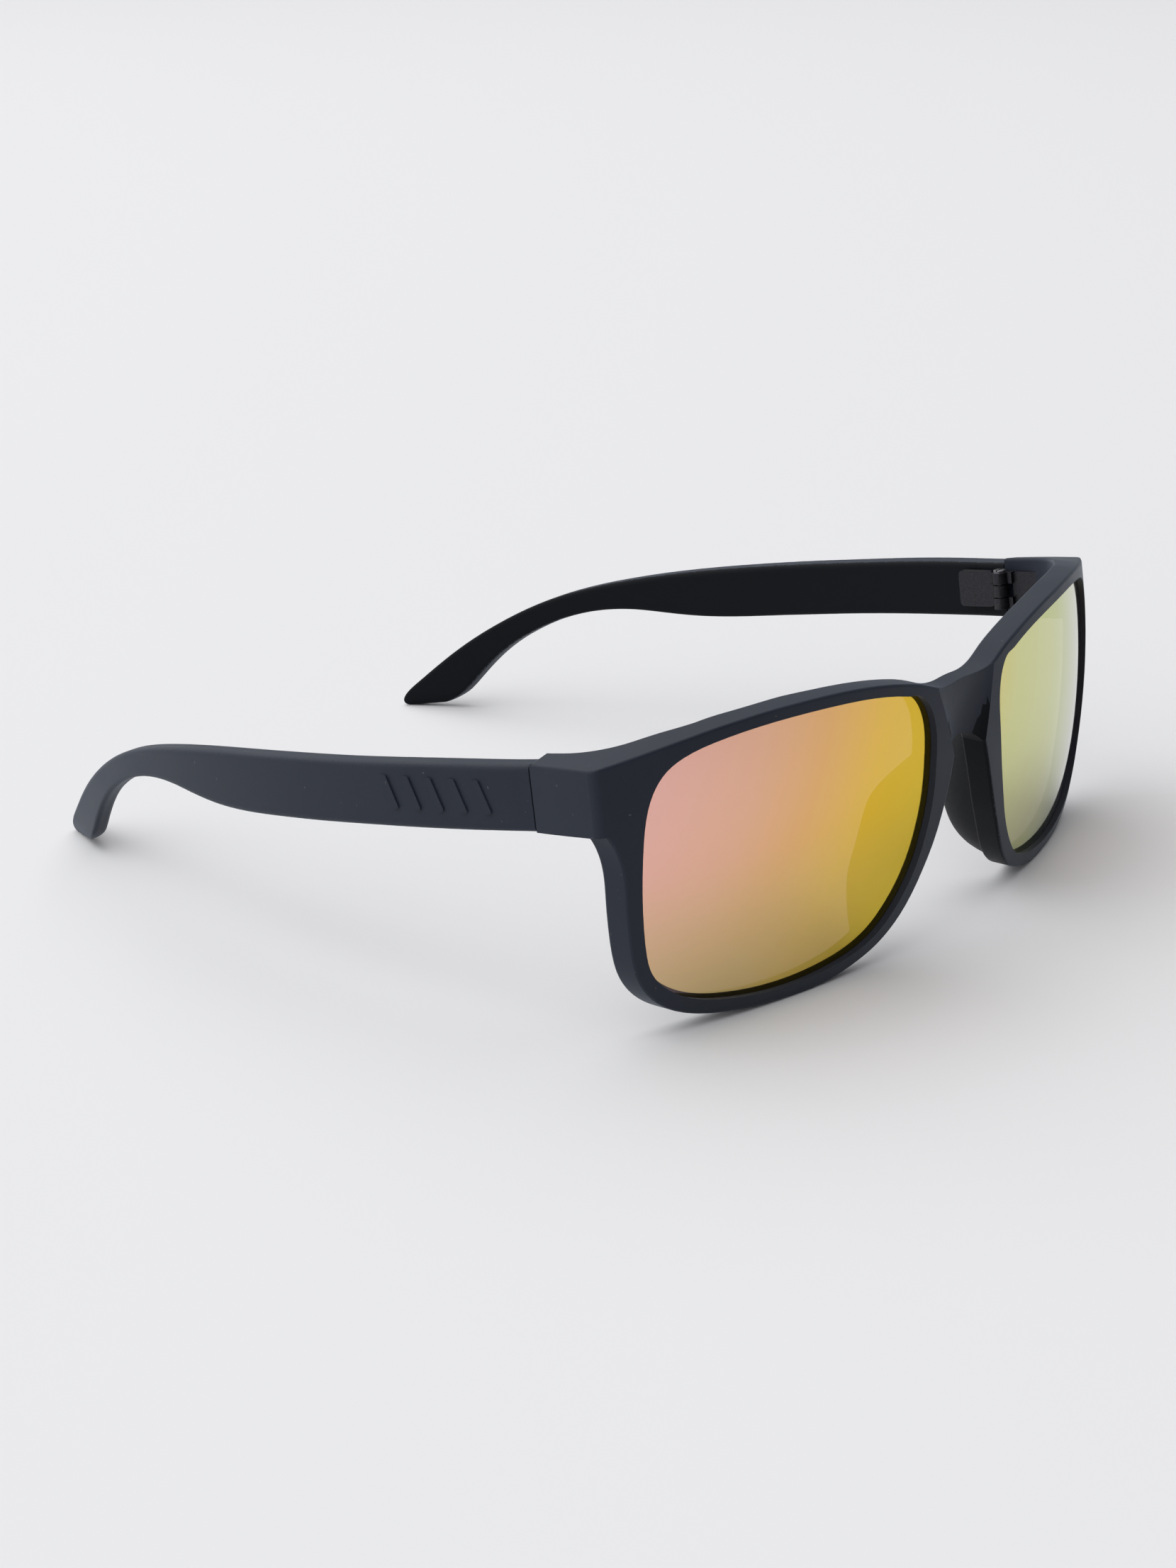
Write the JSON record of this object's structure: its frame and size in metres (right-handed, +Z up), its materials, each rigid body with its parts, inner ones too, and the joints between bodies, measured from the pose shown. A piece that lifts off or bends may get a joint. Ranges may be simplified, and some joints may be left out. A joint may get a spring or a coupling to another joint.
{
  "type": "sunglasses",
  "caption": "Slim wrap sunglasses with a matte black moulded frame, mirrored lenses and two folding side arms with hooked tips.",
  "frame": {"origin": "on the surface the open glasses rest on, under the middle of their bounding box", "axes": "+X to the wearer's left, lenses face -Y, side arms run back along +Y, +Z up"},
  "size_m": [0.1418, 0.1444, 0.0443],
  "materials": {
    "frame_plastic": "matte soft touch",
    "temple_plastic": "matte soft touch",
    "lens_mirror": "coloured mirror coating",
    "hinge_black": "satin black",
    "screw_steel": "darkened"
  },
  "bodies": {
    "front": {"front_frame": "frame_plastic", "right_lens": "lens_mirror", "left_lens": "lens_mirror", "right_front_leaf": "hinge_black", "left_front_leaf": "hinge_black", "hinge_screws": "screw_steel"},
    "right_arm": {"right_temple": "temple_plastic", "right_temple_leaf": "hinge_black"},
    "left_arm": {"left_temple": "temple_plastic", "left_temple_leaf": "hinge_black"}
  },
  "joints": [
    {"name": "right_fold", "type": "hinge", "parent": "front", "child": "right_arm", "pos_m": [-0.0631, -0.04273, 0.03449], "axis": [0, -0.1248, -0.9922], "range_deg": [0, 75]},
    {"name": "left_fold", "type": "hinge", "parent": "front", "child": "left_arm", "pos_m": [0.0631, -0.04273, 0.03449], "axis": [0, 0.1248, 0.9922], "range_deg": [0, 85]}
  ]
}
